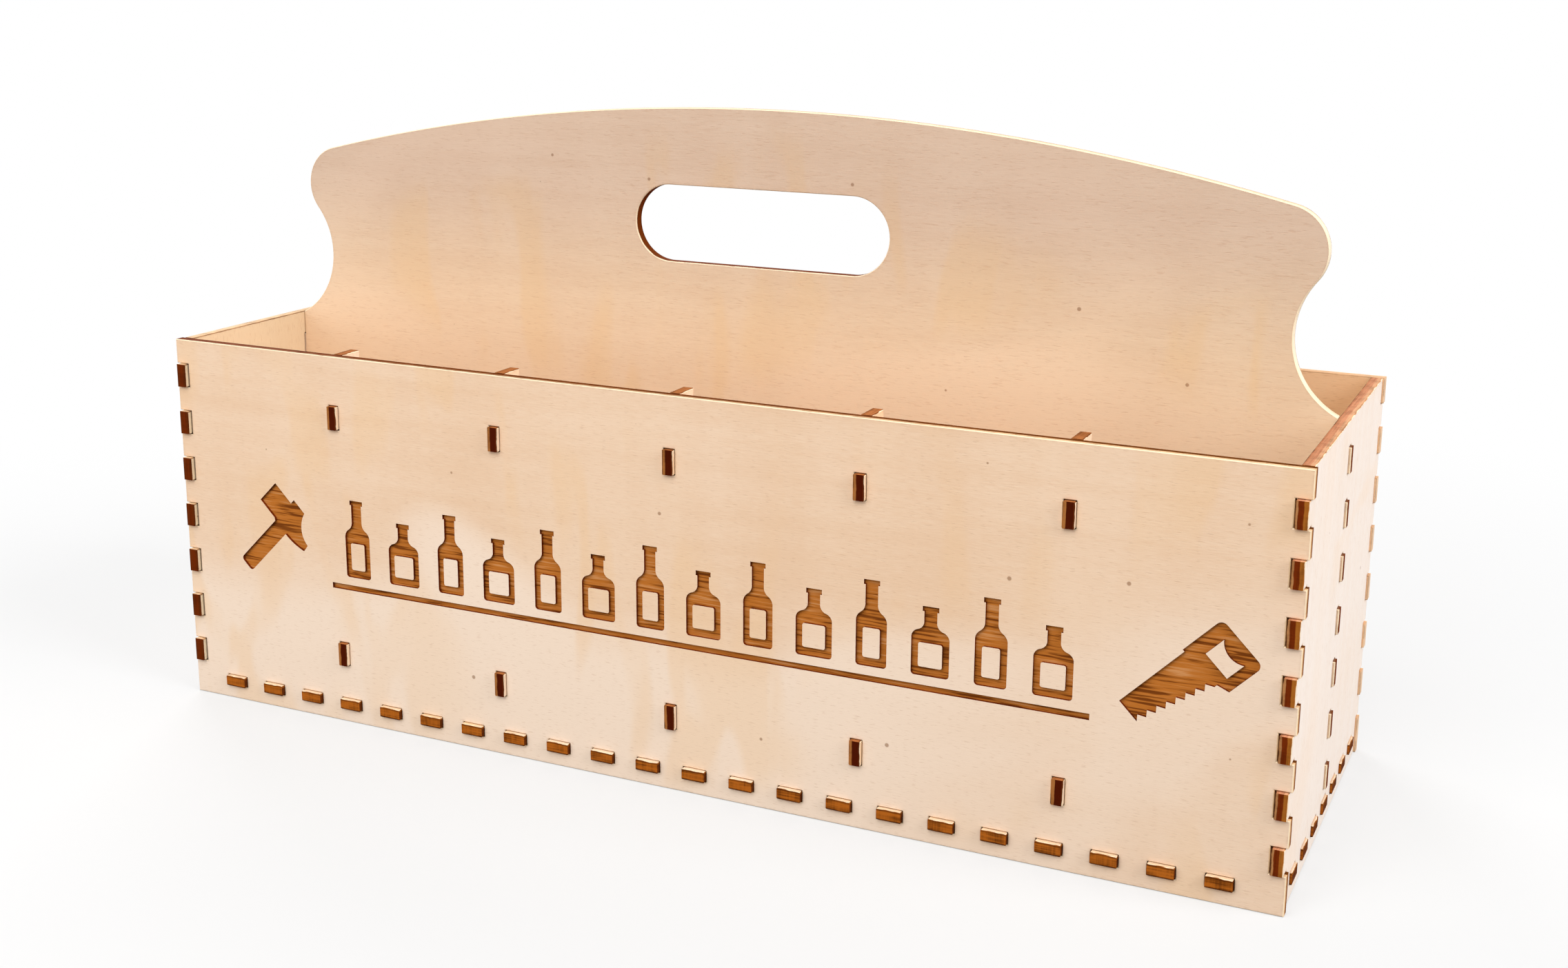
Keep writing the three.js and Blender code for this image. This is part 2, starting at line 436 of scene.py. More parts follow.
class BoardTree(NodeBook):
    """Geometry Nodes tree that cuts a layout out of board.

    The outline and the slots become a ring of wall with an eased arris on both faces, each face is filled
    inside it, and engraved loops are sunk into the front face.
    """

    SIZES = ("Thickness", "Arris", "Scorch Reach", "Slot Corner", "Engraving Depth")
    SLOT_CORNER_FACETS = 3
    WELD = 0.001 * MM
    SCRATCH_ATTRIBUTES = ("role", "slot_size", "mitre", "skin")

    def __init__(self) -> None:
        """Builds the tree with its named inputs."""
        super().__init__(bpy.data.node_groups.new("cut_board", "GeometryNodeTree"))
        kinds = {"Layout": "Geometry"} | dict.fromkeys(self.SIZES, "Float")
        kinds |= {skin.name: "Material" for skin in Skin}
        for name, kind in kinds.items():
            self.tree.interface.new_socket(name, in_out="INPUT", socket_type=f"NodeSocket{kind}")
        self.tree.interface.new_socket("Board", in_out="OUTPUT", socket_type="NodeSocketGeometry")
        self.inlet = self.add("NodeGroupInput").outputs
        self._finish(self._join(self._rim_and_faces(), self._engraving()))

    def _join(self, *parts: Socket) -> Socket:
        """Joins several geometries into one.

        Args:
            *parts: The geometries.

        Returns:
            All of them.
        """
        node = self.add("GeometryNodeJoinGeometry")
        for part in parts:
            self.tree.links.new(part, node.inputs[0])
        return node.outputs[0]

    def _stored(self, name: str, kind: str) -> Socket:
        """A named attribute of the geometry."""
        return self.out("GeometryNodeInputNamedAttribute", {"Name": name}, data_type=kind)

    def _store(
        self, geometry: Socket, name: str, value: Value, kind: str, domain: str, **where: Socket
    ) -> Socket:
        """Stores a named attribute, on a selection where one is given."""
        inputs = {"Geometry": geometry, "Name": name, "Value": value, **where}
        return self.out("GeometryNodeStoreNamedAttribute", inputs, data_type=kind, domain=domain)

    def _chosen(self, name: str, operation: str, value: int) -> Socket:
        """True where a stored whole number compares so with a value."""
        inputs = {2: self._stored(name, "INT"), 3: value}
        return self.out("FunctionNodeCompare", inputs, data_type="INT", operation=operation)

    def _part(self, role: Role) -> Socket:
        """The points and wires of the layout that have one role."""
        inputs = {"Geometry": self.inlet["Layout"], "Selection": self._chosen("role", "EQUAL", int(role))}
        return self.out("GeometryNodeSeparateGeometry", inputs, domain="POINT")

    def _loops(self, role: Role) -> Socket:
        """The layout's loops of one role, as curves."""
        return self.out("GeometryNodeMeshToCurve", {"Mesh": self._part(role)})

    def _up(self, height: Value) -> Socket:
        """A move straight up."""
        return self.out("ShaderNodeCombineXYZ", {"Z": height})

    def _scaled(self, vector: Socket, factor: Value) -> Socket:
        """A vector times a number."""
        return self.out("ShaderNodeVectorMath", {0: vector, "Scale": factor}, operation="SCALE")

    def _shift(self, inward: Value, upward: Value) -> Socket:
        """A move into the wood and up through the board."""
        level = self._scaled(self._stored("mitre", "FLOAT_VECTOR"), inward)
        return self.vector("ADD", level, self._up(upward))

    def _moved(self, geometry: Socket, offset: Socket, **where: Socket) -> Socket:
        """Geometry after a move, of a selection where one is given."""
        return self.out("GeometryNodeSetPosition", {"Geometry": geometry, "Offset": offset, **where})

    def _wires(self, loops: Socket, height: Value) -> Socket:
        """Loops as wires at a height, from which a wall can be drawn."""
        return self._moved(self.out("GeometryNodeCurveToMesh", {"Curve": loops}), self._up(height))

    def _filled(self, loops: Socket, height: Value, skin: Skin) -> Socket:
        """Loops filled with a flat face at a height, holes left open."""
        flat = self.out("GeometryNodeFillCurve", {"Curve": loops}, mode="TRIANGLES")
        return self._store(self._moved(flat, self._up(height)), "skin", int(skin), "INT", "FACE")

    def _realized(self, geometry: Socket) -> Socket:
        """Geometry with its instances made real."""
        return self.out("GeometryNodeRealizeInstances", {"Geometry": geometry})

    def _repeated(self, places: Socket, shape: Socket, scale: Value = (1.0, 1.0, 1.0)) -> Socket:
        """One copy of a shape on each place."""
        inputs = {"Points": places, "Instance": shape, "Scale": scale}
        return self._realized(self.out("GeometryNodeInstanceOnPoints", inputs))

    def _slots(self) -> Socket:
        """A rectangle with eased corners at each slot's middle.

        Returns:
            The rectangles, running as holes do.
        """
        unit = self.out("GeometryNodeCurvePrimitiveQuadrilateral", {"Width": 1.0, "Height": 1.0})
        sharp = self._repeated(self._part(Role.SLOT), unit, self._stored("slot_size", "FLOAT_VECTOR"))
        inputs = {"Curve": sharp, "Count": self.SLOT_CORNER_FACETS, "Radius": self.inlet["Slot Corner"]}
        eased = self.out("GeometryNodeFilletCurve", inputs, mode="POLY")
        return self.out("GeometryNodeReverseCurve", {"Curve": eased})

    def _engraved_loops(self) -> Socket:
        """Single figures, and the motif at each of its places."""
        motifs = self._repeated(self._part(Role.MOTIF_PLACE), self._loops(Role.MOTIF))
        return self._join(self._loops(Role.FIGURE), motifs)

    def _mitre(self) -> Socket:
        """For each point of a loop, the way into the wood.

        Returns:
            Vectors, long enough to shift both edges at the point by one metre.
        """
        place = self.out("GeometryNodeInputPosition")
        index = self.out("GeometryNodeInputIndex")
        sides: list[Socket] = []
        for step in (-1, 1):
            inputs = {"Point Index": index, "Offset": step}
            beside = self.out("GeometryNodeOffsetPointInCurve", inputs, "Point Index")
            inputs = {"Index": beside, "Value": place}
            there = self.out("GeometryNodeFieldAtIndex", inputs, data_type="FLOAT_VECTOR", domain="POINT")
            start, end = (there, place) if step < 0 else (place, there)
            along = self.vector("NORMALIZE", self.vector("SUBTRACT", end, start))
            sides.append(self.vector("CROSS_PRODUCT", UP, along))
        share = self.number("ADD", self.vector("DOT_PRODUCT", *sides, at="Value"), 1.0)
        return self._scaled(self.vector("ADD", *sides), self.number("DIVIDE", 1.0, share))

    def _drawn_on(
        self, mesh: Socket, edge: Socket | None, shift: Socket, skin: Skin
    ) -> tuple[Socket, Socket]:
        """Draws the open edge of a wall on by one step.

        Args:
            mesh: The wall so far.
            edge: Its open edge, or None where it is all wires.
            shift: How far the new edge lies from the old one.
            skin: Finish of the new faces.

        Returns:
            The wall and its new open edge.
        """
        inputs = {"Mesh": mesh, "Offset Scale": 0.0} | ({"Selection": edge} if edge else {})
        drawn, top, side = self.add("GeometryNodeExtrudeMesh", inputs, mode="EDGES").outputs
        moved = self._moved(drawn, shift, Selection=top)
        return self._store(moved, "skin", int(skin), "INT", "FACE", Selection=side), top

    def _rim_and_faces(self) -> Socket:
        """The wall round the outline and the slots, and both faces inside it.

        Returns:
            The board without its engraving, front face left open for it.
        """
        thickness, arris, reach = (self.inlet[name] for name in self.SIZES[:3])
        loops = self._join(self._loops(Role.OUTLINE), self._slots())
        loops = self._store(loops, "mitre", self._mitre(), "FLOAT_VECTOR", "POINT")
        inner = self._moved(loops, self._shift(self.number("ADD", arris, reach), 0.0))
        front = self._filled(self._join(inner, self._engraved_loops()), thickness, Skin.FACE)
        back = self.out("GeometryNodeFlipFaces", {"Mesh": self._filled(inner, 0.0, Skin.FACE)})
        back = self._store(back, "through", 1.0, "FLOAT", "POINT")
        out_arris = self.number("MULTIPLY", arris, -1.0)
        straight = self.number("SUBTRACT", self.number("MULTIPLY", arris, 2.0), thickness)
        share = self.number("DIVIDE", arris, thickness)
        steps: list[tuple[Value, Value, Value, float, Skin]] = [  # inward, upward, through, scorch, skin
            (self.number("MULTIPLY", reach, -1.0), 0.0, 0.0, 1.0, Skin.FACE),
            (out_arris, out_arris, share, 1.0, Skin.EDGE),
            (0.0, straight, self.number("SUBTRACT", 1.0, share), 1.0, Skin.EDGE),
            (arris, out_arris, 1.0, 1.0, Skin.EDGE),
            (reach, 0.0, 1.0, 0.0, Skin.FACE),
        ]
        wall, edge = self._wires(inner, thickness), None
        for inward, upward, through, scorch, skin in steps:
            wall, edge = self._drawn_on(wall, edge, self._shift(inward, upward), skin)
            for name, value in (("through", through), ("scorch", scorch)):
                wall = self._store(wall, name, value, "FLOAT", "POINT", Selection=edge)
        return self._join(front, wall, back)

    def _engraving(self) -> Socket:
        """The engraved figures.

        Returns:
            Their walls and floors.
        """
        thickness, depth = self.inlet["Thickness"], self.inlet["Engraving Depth"]
        loops = self._engraved_loops()
        down = self._up(self.number("MULTIPLY", depth, -1.0))
        wall, _ = self._drawn_on(self._wires(loops, thickness), None, down, Skin.ENGRAVED_WALL)
        floor = self._filled(loops, self.number("SUBTRACT", thickness, depth), Skin.ENGRAVED_FLOOR)
        return self._join(wall, floor)

    def _finish(self, board: Socket) -> None:
        """Welds the parts, realizes them and gives each skin its material.

        Args:
            board: All parts of the board.
        """
        welded = self.out("GeometryNodeMergeByDistance", {"Geometry": board, "Distance": self.WELD})
        dressed = self._realized(welded)
        for skin in Skin:
            chosen = self._chosen("skin", "GREATER_EQUAL", int(skin))
            inputs = {"Geometry": dressed, "Selection": chosen, "Material": self.inlet[skin.name]}
            dressed = self.out("GeometryNodeSetMaterial", inputs)
        self.add("NodeGroupOutput", {"Board": dressed})

    def cut(self, layout: Layout, name: str, inputs: Mapping[str, Value]) -> bpy.types.Object:
        """Cuts one board.

        Args:
            layout: Its flat drawing.
            name: Name of the new piece.
            inputs: Value of each of the tree's inputs, by name.

        Returns:
            The piece as a plain mesh, still lying flat.
        """
        piece = add_object(name, layout.to_mesh(name))
        modifier = piece.modifiers.new("cut", "NODES")
        modifier.node_group = self.tree
        for item in self.tree.interface.items_tree:
            if item.in_out == "INPUT" and item.name in inputs:
                modifier[item.identifier] = inputs[item.name]
        depsgraph = bpy.context.evaluated_depsgraph_get()
        mesh = bpy.data.meshes.new_from_object(piece.evaluated_get(depsgraph), depsgraph=depsgraph)
        piece.modifiers.remove(modifier)
        for attribute in self.SCRATCH_ATTRIBUTES:
            if attribute in mesh.attributes:
                mesh.attributes.remove(mesh.attributes[attribute])
        used = {polygon.material_index for polygon in mesh.polygons}
        for index in reversed(range(len(mesh.materials))):
            if index not in used:
                mesh.materials.pop(index=index)
        mesh.name = name
        piece.data = mesh
        return piece


@dataclass(frozen=True)
class Pattern:
    """Noise on a board: features to the metre along the face grain, across it and through the board."""

    along: float
    across: float
    through: float
    detail: float = 2.0
    distortion: float = 0.0
    shift: Triple | None = None  # the board's own, unless given


class ShaderBook(NodeBook):
    """Builds one material out of nodes, one coat of colour over another."""

    def __init__(self, name: str, lay: Lay = Lay.LENGTHWISE, shift: Triple = ORIGIN) -> None:
        """Starts an empty material.

        Args:
            name: Name of the material.
            lay: How the plies run.
            shift: Where the patterns start, so that boards differ.
        """
        self.material = bpy.data.materials.new(name)
        self.material.use_nodes = True
        super().__init__(self.material.node_tree)
        self.tree.nodes.clear()
        self.lay = lay
        self.shift = shift
        self.place = self.out("ShaderNodeTexCoord", at="Object")
        self.colour: Rgb | Socket = (255, 255, 255)

    def axis(self, name: str) -> Socket:
        """One of the object coordinates: X, Y or Z."""
        return self.out("ShaderNodeSeparateXYZ", {0: self.place}, name)

    def stretched(self, scale: Triple, shift: Triple) -> Socket:
        """Object coordinates, scaled along each axis and then shifted."""
        inputs = {"Vector": self.place, "Scale": scale, "Location": shift}
        return self.out("ShaderNodeMapping", inputs, vector_type="POINT")

    def noise(self, pattern: Pattern) -> Socket:
        """A pattern's value from 0 to 1.

        Args:
            pattern: How fine it is.

        Returns:
            The value.
        """
        scale = self.lay.spread(pattern.along, pattern.across, pattern.through)
        vector = self.stretched(scale, pattern.shift or self.shift)
        inputs = {"Vector": vector, "Scale": 1.0, "Detail": pattern.detail}
        return self.out("ShaderNodeTexNoise", inputs | {"Distortion": pattern.distortion})

    def span(
        self, value: Socket, low: float, high: float, to_low: float = 0.0, to_high: float = 1.0
    ) -> Socket:
        """Maps low to high smoothly on to another range."""
        inputs = {"Value": value, 1: low, 2: high, 3: to_low, 4: to_high}
        return self.out("ShaderNodeMapRange", inputs, interpolation_type="SMOOTHSTEP")

    def product(self, first: Value, second: Value) -> Socket:
        """Two numbers multiplied."""
        return self.number("MULTIPLY", first, second)

    def weighted(self, values: Sequence[Socket], shares: Sequence[float]) -> Socket:
        """Mixes numbers.

        Args:
            values: The numbers.
            shares: How much of each.

        Returns:
            The sum of all shares.
        """
        total, *rest = (self.product(value, share) for value, share in zip(values, shares))
        for part in rest:
            total = self.number("ADD", total, part)
        return total

    def attribute(self, name: str) -> Socket:
        """A number that the mesh carries at its points."""
        return self.out("ShaderNodeAttribute", at="Fac", attribute_name=name)

    def mixed(self, factor: Value, first: Rgb | Socket, second: Rgb | Socket) -> Socket:
        """Mixes two colours, each a socket or a display colour."""
        ends = [colour if isinstance(colour, Socket) else srgb(colour) for colour in (first, second)]
        return self.out("ShaderNodeMix", {0: factor, 6: ends[0], 7: ends[1]}, 2, data_type="RGBA")

    def paint(self, factor: Value, colour: Rgb | Socket) -> None:
        """Lays a coat of colour over what is there."""
        self.colour = self.mixed(factor, self.colour, colour)

    def tint(self, factor: Value, tint: Triple) -> None:
        """Multiplies what is there by a linear tint."""
        inputs = {0: factor, 6: self.colour, 7: (*tint, 1.0)}
        self.colour = self.out("ShaderNodeMix", inputs, 2, data_type="RGBA", blend_type="MULTIPLY")

    def close(self, roughness: Value, specular: float, height: Socket, relief: float) -> bpy.types.Material:
        """Ends the material in a Principled shader.

        Args:
            roughness: Roughness.
            specular: Specular level.
            height: Relief from 0 to 1.
            relief: Depth of the relief, in metres.

        Returns:
            The material.
        """
        bump = self.out("ShaderNodeBump", {"Height": height, "Distance": relief, "Strength": 1.0})
        inputs = {"Base Color": self.colour, "Roughness": roughness, "Specular IOR Level": specular}
        shader = self.out("ShaderNodeBsdfPrincipled", inputs | {"Normal": bump})
        self.add("ShaderNodeOutputMaterial", {"Surface": shader})
        return self.material


class Finish:
    """How a skin of a board looks."""

    roughness: float
    specular: float
    relief: float
    shift: Triple = ORIGIN

    def material(self, name: str, lay: Lay) -> bpy.types.Material:
        """Builds the finish's material.

        Args:
            name: Name of the material.
            lay: How the plies run.

        Returns:
            The material.
        """
        book = ShaderBook(name, lay, self.shift)
        roughness, height = self.coat(book)
        return book.close(roughness, self.specular, height, self.relief)

    def coat(self, book: ShaderBook) -> tuple[Value, Socket]:
        """Paints the material, and gives its roughness and its relief."""
        raise NotImplementedError


@dataclass(frozen=True)
class Veneer(Finish):
    """Sanded face veneer: fibres, wider streaks, faint stains, pores and a few pin knots; where set,
    painted bounce light low down and painted shade inside and towards the top.
    """

    pale: Rgb
    deep: Rgb
    # Paler tone of random clouds, and the colour of the painted bounce light low down.
    bloom_and_bounce_light: Rgb = (250, 224, 201)
    stain: Rgb = (246, 203, 152)
    pore: Rgb = (206, 162, 124)
    knot: Rgb = (150, 104, 66)
    scorch: Rgb = (172, 116, 70)
    inner_shade_tint: Triple = NO_TINT  # painted shade on the face that the beam leaves by, the inner face
    high_shade_tint: Triple = NO_TINT  # painted shade, darker and greyer towards the top
    high_span: Stretch = (150 * MM, 205 * MM)
    # Painted bounce light: how much paler the lower part is painted, as if lit by light bounced off the
    # floor.
    low_bounce_light: float = 0.0
    low_span: Stretch = (90 * MM, 56 * MM)
    low_wave: float = 20 * MM
    low_right: float = 1.0  # what is left of the painted bounce light at the right end
    fade_span: Stretch = (30 * MM, 190 * MM)
    shift: Triple = ORIGIN
    stain_strength: float = 0.48
    bloom_strength: float = 0.5
    smoke_strength: float = 0.2
    smoke_least: float = 0.1
    scorch_power: float = 2.2
    pore_strength: float = 0.32
    pore_depth: float = 1.5
    knot_cell: float = 40 * MM
    knot_radius: float = 0.9 * MM
    knot_blur: float = 0.4 * MM
    knot_strength: float = 0.7
    roughness: float = 0.56
    roughness_swing: float = 0.05
    specular: float = 0.4
    relief: float = 0.03 * MM

    FIBRE = Pattern(200, 2300, 2300, 3.0)
    STREAK = Pattern(9, 160, 160, 3.0, 0.5)
    BAND = Pattern(34, 4, 4, 3.0, 0.3)
    CLOUD = Pattern(5, 8, 8, 1.0, 1.2)
    TONGUE = Pattern(48, 13, 13, 1.5, 0.5)
    DASH = Pattern(340, 2700, 2700, 1.0)
    WISP = Pattern(600, 600, 600)
    TONE_SHARES = (0.25, 0.35, 0.4)
    TONE_SPAN = (0.36, 0.64)
    BLOOM_SPAN = (0.5, 0.62)
    MIDDLE_SPAN = (0.3, 0.7)
    STAIN_SPAN = (0.48, 0.6)
    DRY_SPAN = (0.52, 0.4)
    PORE_SPAN = (0.58, 0.76)
    SMOKE_SPAN = (0.35, 0.7)
    KNOT_SPAN = (0.5, 1.0)

    def coat(self, book: ShaderBook) -> tuple[Value, Socket]:
        """Paints the veneer.

        Args:
            book: The material.

        Returns:
            Its roughness and its relief.
        """
        fibre, streak = book.noise(self.FIBRE), book.noise(self.STREAK)
        band, cloud = book.noise(self.BAND), book.noise(self.CLOUD)
        tone = book.weighted((streak, band, fibre), self.TONE_SHARES)
        book.colour = book.mixed(book.span(tone, *self.TONE_SPAN), self.pale, self.deep)
        book.paint(book.span(cloud, *self.BLOOM_SPAN, 0.0, self.bloom_strength), self.bloom_and_bounce_light)
        # Painted bounce light: paler towards the bottom, under a wavy border, fading towards the right end.
        if self.low_bounce_light:
            wave = book.span(cloud, *self.MIDDLE_SPAN, self.low_wave, -self.low_wave)
            rise = book.number("ADD", book.axis("Z"), wave)
            low = book.span(rise, *self.low_span, 0.0, self.low_bounce_light)
            fade = book.span(book.axis("X"), *self.fade_span, 1.0, self.low_right)
            book.paint(book.product(low, fade), self.bloom_and_bounce_light)
        tongue = book.span(book.noise(self.TONGUE), *self.STAIN_SPAN)
        stain = book.product(tongue, book.span(cloud, *self.DRY_SPAN))
        book.paint(book.product(stain, self.stain_strength), self.stain)
        pore = book.span(book.noise(self.DASH), *self.PORE_SPAN, 0.0, self.pore_strength)
        book.paint(pore, self.pore)
        book.paint(self._knots(book), self.knot)
        least, most = self.smoke_least * self.smoke_strength, self.smoke_strength
        smoke = book.span(book.noise(self.WISP), *self.SMOKE_SPAN, least, most)
        scorched = book.number("POWER", book.attribute("scorch"), self.scorch_power)
        book.paint(book.product(scorched, smoke), self.scorch)
        # Painted shade: the inner face, which the beam leaves by, darker and warmer.
        if self.inner_shade_tint != NO_TINT:
            book.tint(book.attribute("through"), self.inner_shade_tint)
        # Painted shade: darker and greyer towards the top.
        if self.high_shade_tint != NO_TINT:
            book.tint(book.span(book.axis("Z"), *self.high_span), self.high_shade_tint)
        smooth, rough = self.roughness - self.roughness_swing, self.roughness + self.roughness_swing
        roughness = book.span(streak, *self.MIDDLE_SPAN, smooth, rough)
        return roughness, book.number("SUBTRACT", fibre, book.product(pore, self.pore_depth))

    def _knots(self, book: ShaderBook) -> Socket:
        """Small round pin knots, strewn far apart over the face.

        Args:
            book: The material.

        Returns:
            How strongly a knot shows, from 0.
        """
        place = book.stretched((1 / self.knot_cell,) * 3, self.shift)
        axes = book.add("ShaderNodeSeparateXYZ", {0: place}).outputs
        grain, cross, _ = book.lay.value
        face = book.out("ShaderNodeCombineXYZ", {0: axes[grain], 1: axes[cross]})
        inputs = {"Vector": face, "Scale": 1.0}
        cells = book.add("ShaderNodeTexVoronoi", inputs, voronoi_dimensions="2D").outputs
        kept = book.out("ShaderNodeSeparateColor", {"Color": cells["Color"]})
        size = book.span(kept, *self.KNOT_SPAN, 0.0, self.knot_radius / self.knot_cell)
        inside = book.number("SUBTRACT", size, cells["Distance"])
        return book.span(inside, 0.0, self.knot_blur / self.knot_cell, 0.0, self.knot_strength)


@dataclass(frozen=True)
class CutEdge(Finish):
    """Laser-cut edge of three-ply board.

    Each ply has one colour along its grain and another across it. The eased arris stays pale, the arris
    where the beam leaves is charred in places and carries a painted shadow line, and edges marked dark, as
    charring or as painted shade, have one colour all through.
    """

    entry: tuple[Rgb, Rgb]  # along the ply's grain and across it, as for the other two plies
    core: tuple[Rgb, Rgb]
    leave: tuple[Rgb, Rgb]
    arris: Rgb = (252, 230, 196)
    burn_and_shade: Rgb = (112, 50, 10)
    # Char, also used for the painted shadow line along the arris where the beam leaves.
    char_and_shadow: Rgb = (54, 18, 3)
    arris_share: float = 0.1  # of the thickness, from the entry side, as the other shares
    entry_share: float = 0.25
    core_share: float = 0.8
    lip_share: float = 0.93
    border_wander: float = 0.06
    streak_strength: float = 0.45
    lip_strength: float = 0.9
    arris_strength: float = 0.95
    roughness: float = 0.85
    specular: float = 0.03
    relief: float = 0.06 * MM

    WANDER = Pattern(260, 260, 260)
    LAYERS = Pattern(80, 80, 1700)
    SCAR = Pattern(1500, 1500, 90, 3.0)
    BLOTCH = Pattern(170, 170, 170, shift=(3.0, 1.0, 2.0))
    STREAK_SHARES = (0.4, 0.25, 0.35)
    STREAK_SPAN = (0.42, 0.68)
    CHAR_SPAN = (0.38, 0.52)
    ENTRY_BLUR = (-0.04, 0.04)
    CORE_BLUR = (-0.03, 0.03)
    LIP_BLUR = (-0.03, 0.04)
    ARRIS_BLUR = (0.4, 1.4)

    def coat(self, book: ShaderBook) -> tuple[Value, Socket]:
        """Paints the edge.

        Args:
            book: The material.

        Returns:
            Its roughness and its relief.
        """
        wander = book.span(book.noise(self.WANDER), 0.0, 1.0, -self.border_wander, self.border_wander)
        through = book.number("ADD", book.attribute("through"), wander)
        across_face = self._end_grain(book, book.lay.spread(1, 0, 0))
        across_core = self._end_grain(book, book.lay.spread(0, 1, 0))
        into_core = book.span(through, *(self.entry_share + blur for blur in self.ENTRY_BLUR))
        out_of_core = book.span(through, *(self.core_share + blur for blur in self.CORE_BLUR))
        book.colour = book.mixed(across_face, *self.entry)
        book.paint(into_core, book.mixed(across_core, *self.core))
        book.paint(out_of_core, book.mixed(across_face, *self.leave))
        # Painted dark all through where marked: charring on slots, holes and the handle's tabs, painted
        # shade on the front's left edge.
        book.paint(book.attribute("burn_and_shade_mask"), self.burn_and_shade)
        layers, scar, blotch = (book.noise(pattern) for pattern in (self.LAYERS, self.SCAR, self.BLOTCH))
        streaks = book.weighted((layers, scar, blotch), self.STREAK_SHARES)
        book.paint(book.span(streaks, *self.STREAK_SPAN, 0.0, self.streak_strength), self.char_and_shadow)
        # Arris where the beam leaves: char in blotches, partly a painted shadow line.
        lip = book.span(through, *(self.lip_share + blur for blur in self.LIP_BLUR))
        book.paint(book.product(lip, book.span(blotch, *self.CHAR_SPAN, 0.0, self.lip_strength)), self.char_and_shadow)
        pale = (blur * self.arris_share for blur in self.ARRIS_BLUR)
        book.paint(book.span(through, *pale, self.arris_strength, 0.0), self.arris)
        return self.roughness, streaks

    @staticmethod
    def _end_grain(book: ShaderBook, grain: Triple) -> Socket:
        """How squarely the edge cuts across a ply's grain, from 0 to 1."""
        across = book.vector("DOT_PRODUCT", book.out("ShaderNodeNewGeometry", at="Normal"), grain, "Value")
        return book.number("POWER", book.number("ABSOLUTE", across), 2.0)


@dataclass(frozen=True)
class Engraved(Finish):
    """Burnt wood of the engraving, with hairlines along the grain."""

    dark: Rgb
    middle: Rgb
    light: Rgb
    roughness: float = 0.9
    specular: float = 0.03
    relief: float = 0.12 * MM

    STREAK = Pattern(55, 1250, 200, 4.0, 0.3)
    PATCH = Pattern(60, 90, 90)
    SWING_SPAN = (0.3, 0.7, -0.04, 0.06)
    HAIRLINE_SPAN = (0.36, 0.49)
    LIGHT_SPAN = (0.5, 0.66)
    PATCH_SPAN = (0.35, 0.65)

    def coat(self, book: ShaderBook) -> tuple[Value, Socket]:
        """Paints the burnt wood.

        Args:
            book: The material.

        Returns:
            Its roughness and its relief.
        """
        streak, patch = book.noise(self.STREAK), book.noise(self.PATCH)
        hairline = book.number("ADD", streak, book.span(patch, *self.SWING_SPAN))
        book.colour = book.mixed(book.span(hairline, *self.HAIRLINE_SPAN), self.dark, self.middle)
        tone = book.product(book.span(streak, *self.LIGHT_SPAN), book.span(patch, *self.PATCH_SPAN))
        book.paint(tone, self.light)
        return self.roughness, streak


@dataclass(frozen=True)
class BoardStock:
    """One kind of board: its finishes, how the plies run, and a slot name."""

    name: str
    slot: str
    lay: Lay
    veneer: Veneer
    edge: CutEdge
    arris: float = 0.28 * MM
    scorch_reach: float = 1.3 * MM
    slot_corner: float = 0.3 * MM

    @cached_property
    def inputs(self) -> dict[str, Value]:
        """This stock's values for the tree that cuts it, with its materials made once.

        Returns:
            The values, by the names of the tree's inputs.
        """
        return {
            "Arris": self.arris,
            "Scorch Reach": self.scorch_reach,
            "Slot Corner": self.slot_corner,
            Skin.FACE.name: self.veneer.material(f"{self.name}_plywood_veneer", self.lay),
            Skin.EDGE.name: self.edge.material(f"{self.name}_plywood_cut_edge", self.lay),
        }


@dataclass(frozen=True)
class Hammer:
    """Plain claw hammer, drawn upright on its shaft's end with its face to the left."""

    shaft_length: float = 23.8 * MM
    shaft_width: float = 6.5 * MM
    shaft_corner: float = 1.4 * MM
    face_reach: float = 13 * MM
    face_low: float = 24.5 * MM
    face_top: float = 34.8 * MM
    face_neck: float = 1 * MM
    eye_top: float = 36.8 * MM
    claw_low: Point = (13 * MM, 25.8 * MM)
    claw_top: Point = (12.6 * MM, 28.7 * MM)
    claw_belly: float = 0.5 * MM
    claw_hollow: float = 2.1 * MM

    def loop(self) -> Loop:
        """The hammer's outline.

        Returns:
            Its points, from the end of the shaft round by the claw.
        """
        half, corner = self.shaft_width / 2, self.shaft_corner
        return [
            *arc((corner - half, corner), corner, math.pi, 1.5 * math.pi),
            *arc((half - corner, corner), corner, 1.5 * math.pi, 2 * math.pi),
            *bowed((half, self.shaft_length), self.claw_low, -self.claw_belly),
            *bowed(self.claw_top, (half, self.eye_top), self.claw_hollow),
            (-half, self.eye_top),
            (-half, self.face_top),
            (-self.face_reach, self.face_top),
            (-self.face_reach, self.face_low),
            (-half - self.face_neck, self.face_low),
            (-half, self.shaft_length),
        ]


